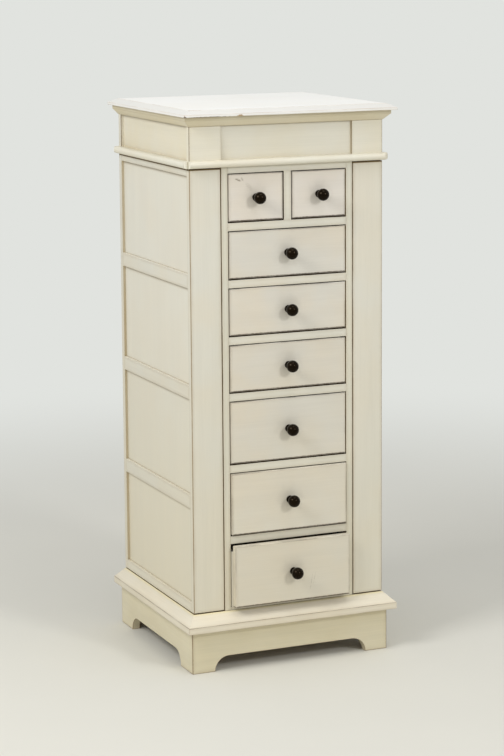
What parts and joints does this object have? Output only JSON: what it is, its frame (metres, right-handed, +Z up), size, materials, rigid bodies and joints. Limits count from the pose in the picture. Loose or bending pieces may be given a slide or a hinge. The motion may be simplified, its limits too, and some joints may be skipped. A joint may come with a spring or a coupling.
{
  "type": "jewelry chest",
  "caption": "Tall painted jewelry chest with a lift-up lid over a divided tray, drawers with round knobs, and side doors that swing out with necklace hooks.",
  "frame": {"origin": "on the floor, at the centre of the box that the resting chest fills", "axes": "+X to the right as seen from the front, +Y to the back, +Z up"},
  "size_m": [0.414, 0.416, 1.016],
  "materials": {
    "painted_wood": "cream paint on hardwood and board, brushed with a thin brown glaze that stays in the edges and corners, satin",
    "bare_wood": "bare, sanded",
    "knob_lacquer": "near-black bronze lacquer, glossy",
    "brass": "satin",
    "lining": "short-piled lining felt on board",
    "mirror": "silvered",
    "catch_plastic": "moulded, matte"
  },
  "bodies": {
    "carcass": {"plinth_front": "painted_wood", "plinth_left": "painted_wood", "plinth_right": "painted_wood", "plinth_back": "painted_wood", "plinth_blocks": "bare_wood", "base_cap": "painted_wood", "base_board": "bare_wood", "partition_left": "painted_wood", "partition_right": "painted_wood", "back_panel": "painted_wood", "face_frame": "painted_wood", "drawer_runners": "bare_wood", "tray_floor": "lining", "frieze_front": "painted_wood", "frieze_left": "painted_wood", "frieze_right": "painted_wood", "frieze_back": "painted_wood", "bead_moulding": "painted_wood", "bed_moulding": "painted_wood", "tray_dividers": "lining", "ring_rolls": "lining", "hinge_fixed_leaves": "brass", "door_catches": "catch_plastic"},
    "lid": {"lid_slab": "painted_wood", "lid_mirror": "mirror", "lid_hinge_leaves": "brass"},
    "door_left": {"door_left_pilaster": "painted_wood", "door_left_frame": "painted_wood", "door_left_panels": "painted_wood", "door_left_hooks": "brass", "door_left_hinge_leaves": "brass"},
    "door_right": {"door_right_pilaster": "painted_wood", "door_right_frame": "painted_wood", "door_right_panels": "painted_wood", "door_right_hooks": "brass", "door_right_hinge_leaves": "brass"},
    "drawer_7": {"drawer_7_front": "painted_wood", "drawer_7_box": "bare_wood", "drawer_7_knob": "knob_lacquer"},
    "drawer_6": {"drawer_6_front": "painted_wood", "drawer_6_box": "bare_wood", "drawer_6_knob": "knob_lacquer"},
    "drawer_5": {"drawer_5_front": "painted_wood", "drawer_5_box": "bare_wood", "drawer_5_knob": "knob_lacquer"},
    "drawer_4": {"drawer_4_front": "painted_wood", "drawer_4_box": "bare_wood", "drawer_4_knob": "knob_lacquer"},
    "drawer_3": {"drawer_3_front": "painted_wood", "drawer_3_box": "bare_wood", "drawer_3_knob": "knob_lacquer"},
    "drawer_2": {"drawer_2_front": "painted_wood", "drawer_2_box": "bare_wood", "drawer_2_knob": "knob_lacquer"},
    "drawer_1_left": {"drawer_1_left_front": "painted_wood", "drawer_1_left_box": "bare_wood", "drawer_1_left_knob": "knob_lacquer"},
    "drawer_1_right": {"drawer_1_right_front": "painted_wood", "drawer_1_right_box": "bare_wood", "drawer_1_right_knob": "knob_lacquer"}
  },
  "joints": [
    {"name": "lid_hinge", "type": "hinge", "parent": "carcass", "child": "lid", "pos_m": [0, 0.1977, 1.0016], "axis": [-1, 0, 0], "range_deg": [0, 100]},
    {"name": "door_left_hinge", "type": "hinge", "parent": "carcass", "child": "door_left", "pos_m": [-0.17575, 0.1977, 0.5], "axis": [0, 0, -1], "range_deg": [0, 100]},
    {"name": "door_right_hinge", "type": "hinge", "parent": "carcass", "child": "door_right", "pos_m": [0.17575, 0.1977, 0.5], "axis": [0, 0, 1], "range_deg": [0, 100]},
    {"name": "drawer_7_slide", "type": "slide", "parent": "carcass", "child": "drawer_7", "axis": [0, -1, 0], "range_m": [-0.018, 0.212]},
    {"name": "drawer_6_slide", "type": "slide", "parent": "carcass", "child": "drawer_6", "axis": [0, -1, 0], "range_m": [-0.004, 0.226]},
    {"name": "drawer_5_slide", "type": "slide", "parent": "carcass", "child": "drawer_5", "axis": [0, -1, 0], "range_m": [0, 0.23]},
    {"name": "drawer_4_slide", "type": "slide", "parent": "carcass", "child": "drawer_4", "axis": [0, -1, 0], "range_m": [0, 0.23]},
    {"name": "drawer_3_slide", "type": "slide", "parent": "carcass", "child": "drawer_3", "axis": [0, -1, 0], "range_m": [0, 0.23]},
    {"name": "drawer_2_slide", "type": "slide", "parent": "carcass", "child": "drawer_2", "axis": [0, -1, 0], "range_m": [0, 0.23]},
    {"name": "drawer_1_left_slide", "type": "slide", "parent": "carcass", "child": "drawer_1_left", "axis": [0, -1, 0], "range_m": [0, 0.23]},
    {"name": "drawer_1_right_slide", "type": "slide", "parent": "carcass", "child": "drawer_1_right", "axis": [0, -1, 0], "range_m": [0, 0.23]}
  ]
}
